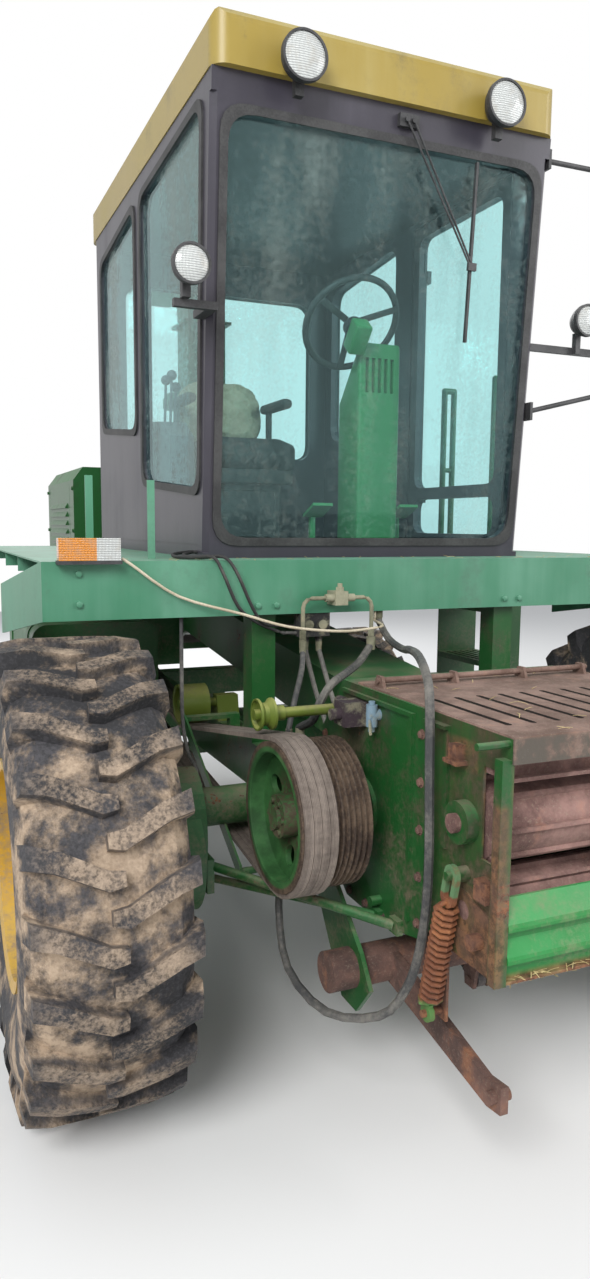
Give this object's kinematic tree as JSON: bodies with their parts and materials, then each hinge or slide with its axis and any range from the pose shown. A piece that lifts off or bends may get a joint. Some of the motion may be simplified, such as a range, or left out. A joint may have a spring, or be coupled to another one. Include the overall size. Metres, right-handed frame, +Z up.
{
  "type": "forage harvester",
  "caption": "Self-propelled forage harvester with a cab over the front drive wheels, feeder throat, side belt drive and rear discharge spout.",
  "frame": {"origin": "centre of the machine's box, on the ground", "axes": "+Y towards the machine's back, +X towards its left side, +Z up"},
  "size_m": [2.938, 5.1194, 3.6763],
  "materials": {
    "green_paint": "faded semi-gloss",
    "pale_green_paint": "chalky",
    "bright_green_paint": "semi-gloss",
    "yellow_paint": "faded matt",
    "rim_paint": "faded semi-gloss",
    "cab_paint": "faded matt",
    "rust": "rusty",
    "spring_rust": "rusty",
    "steel": "dull, lightly rusted",
    "tyre": "dusty",
    "rubber": "dull",
    "belt": "dull",
    "plastic": "dull",
    "seat": "worn",
    "cable": "dull",
    "glass": "tinted",
    "lens": "clear, ribbed",
    "amber_lens": "translucent"
  },
  "bodies": {
    "machine": {"frame_rails": "green_paint", "frame_crossmembers": "green_paint", "front_axle": "green_paint", "rear_axle": "green_paint", "feeder_housing": "green_paint", "feeder_cover": "rust", "throat_bars": "rust", "throat_sill": "bright_green_paint", "cutter_housing": "green_paint", "transfer_duct": "green_paint", "belt_sheaves": "steel", "main_belt": "belt", "belt_tensioner": "green_paint", "feed_springs": "spring_rust", "deck": "pale_green_paint", "cab_frame": "cab_paint", "cab_roof": "yellow_paint", "cab_glass": "glass", "window_seals": "rubber", "steering_column": "green_paint", "steering_wheel": "plastic", "operator_seat": "seat", "control_console": "cab_paint", "lamps": "plastic", "lamp_lenses": "lens", "signal_lamps": "amber_lens", "wiper": "plastic", "mirrors": "plastic", "ladder": "green_paint", "fuel_tank": "green_paint", "engine_block": "steel", "engine_housing": "green_paint", "blower_housing": "green_paint", "exhaust_stack": "steel", "valve_manifold": "steel", "hydraulic_hoses": "rubber", "lamp_cable": "cable"},
    "front_wheel_right": {"front_rim_right": "rim_paint", "front_tyre_right": "tyre"},
    "front_wheel_left": {"front_rim_left": "rim_paint", "front_tyre_left": "tyre"},
    "knuckle_right": {"knuckle_right": "green_paint"},
    "knuckle_left": {"knuckle_left": "green_paint"},
    "tie_rod": {"tie_rod": "steel"},
    "rear_wheel_right": {"rear_rim_right": "rim_paint", "rear_tyre_right": "tyre"},
    "rear_wheel_left": {"rear_rim_left": "rim_paint", "rear_tyre_left": "tyre"},
    "spout": {"spout": "green_paint"},
    "spout_cap": {"spout_cap": "green_paint"},
    "cab_door": {"door_frame": "cab_paint", "door_glass": "glass"},
    "upper_feed_roll": {"upper_feed_roll": "rust"},
    "lower_feed_roll": {"lower_feed_roll": "rust"},
    "rotary_screen": {"rotary_screen": "steel"},
    "header_lift": {"lift_arms": "rust"},
    "lift_barrel": {"lift_barrel": "green_paint"},
    "lift_rod": {"lift_rod": "steel"}
  },
  "joints": [
    {"name": "front_wheel_right_spin", "type": "hinge", "parent": "machine", "child": "front_wheel_right", "pos_m": [-1.239, -1.41, 0.725], "axis": [1, 0, 0], "continuous": true},
    {"name": "front_wheel_left_spin", "type": "hinge", "parent": "machine", "child": "front_wheel_left", "pos_m": [1.239, -1.41, 0.725], "axis": [1, 0, 0], "continuous": true},
    {"name": "steer", "type": "hinge", "parent": "machine", "child": "knuckle_right", "pos_m": [-0.9, 1.14, 0.56], "axis": [0, 0, 1], "range_deg": [-30, 30]},
    {"name": "steer_left", "type": "hinge", "parent": "machine", "child": "knuckle_left", "pos_m": [0.9, 1.14, 0.56], "axis": [0, 0, 1], "range_deg": [-30, 30]},
    {"name": "tie_rod_pivot", "type": "hinge", "parent": "knuckle_right", "child": "tie_rod", "pos_m": [-0.9, 1.29, 0.455], "axis": [0, 0, 1], "range_deg": [-30, 30]},
    {"name": "rear_wheel_right_spin", "type": "hinge", "parent": "knuckle_right", "child": "rear_wheel_right", "pos_m": [-1.075, 1.14, 0.56], "axis": [1, 0, 0], "continuous": true},
    {"name": "rear_wheel_left_spin", "type": "hinge", "parent": "knuckle_left", "child": "rear_wheel_left", "pos_m": [1.075, 1.14, 0.56], "axis": [1, 0, 0], "continuous": true},
    {"name": "spout_swing", "type": "hinge", "parent": "machine", "child": "spout", "pos_m": [0, 1.19, 2.56], "axis": [0, 0, 1], "range_deg": [-100, 100]},
    {"name": "spout_cap_tilt", "type": "hinge", "parent": "spout", "child": "spout_cap", "pos_m": [0, 2.31067, 3.532], "axis": [-1, 0, 0], "range_deg": [0, 50]},
    {"name": "cab_door_swing", "type": "hinge", "parent": "machine", "child": "cab_door", "pos_m": [0.7125, -0.192, 2.48], "axis": [0, 0, 1], "range_deg": [0, 75]},
    {"name": "upper_feed_roll_spin", "type": "hinge", "parent": "machine", "child": "upper_feed_roll", "pos_m": [0, -2.36, 1.062], "axis": [1, 0, 0], "continuous": true},
    {"name": "lower_feed_roll_spin", "type": "hinge", "parent": "machine", "child": "lower_feed_roll", "pos_m": [0, -2.36, 0.826], "axis": [1, 0, 0], "continuous": true},
    {"name": "rotary_screen_spin", "type": "hinge", "parent": "machine", "child": "rotary_screen", "pos_m": [0.78, 1.94, 1.69], "axis": [1, 0, 0], "continuous": true},
    {"name": "header_lift", "type": "hinge", "parent": "machine", "child": "header_lift", "pos_m": [0, -1.86, 0.443], "axis": [-1, 0, 0], "range_deg": [0, 22]},
    {"name": "lift_barrel_tilt", "type": "hinge", "parent": "machine", "child": "lift_barrel", "pos_m": [0, -1.35, 0.48], "axis": [1, 0, 0], "range_deg": [-5, 5]},
    {"name": "lift_rod_slide", "type": "slide", "parent": "lift_barrel", "child": "lift_rod", "axis": [0, -0.9503, -0.3112], "range_m": [-0.002, 0.05]}
  ],
  "couplings": [
    {"joint": "steer_left", "follows": "steer", "ratio": 1},
    {"joint": "tie_rod_pivot", "follows": "steer", "ratio": -1},
    {"joint": "lift_barrel_tilt", "follows": "header_lift", "ratio": -0.1084},
    {"joint": "lift_rod_slide", "follows": "header_lift", "m_per_rad": 0.11417}
  ]
}
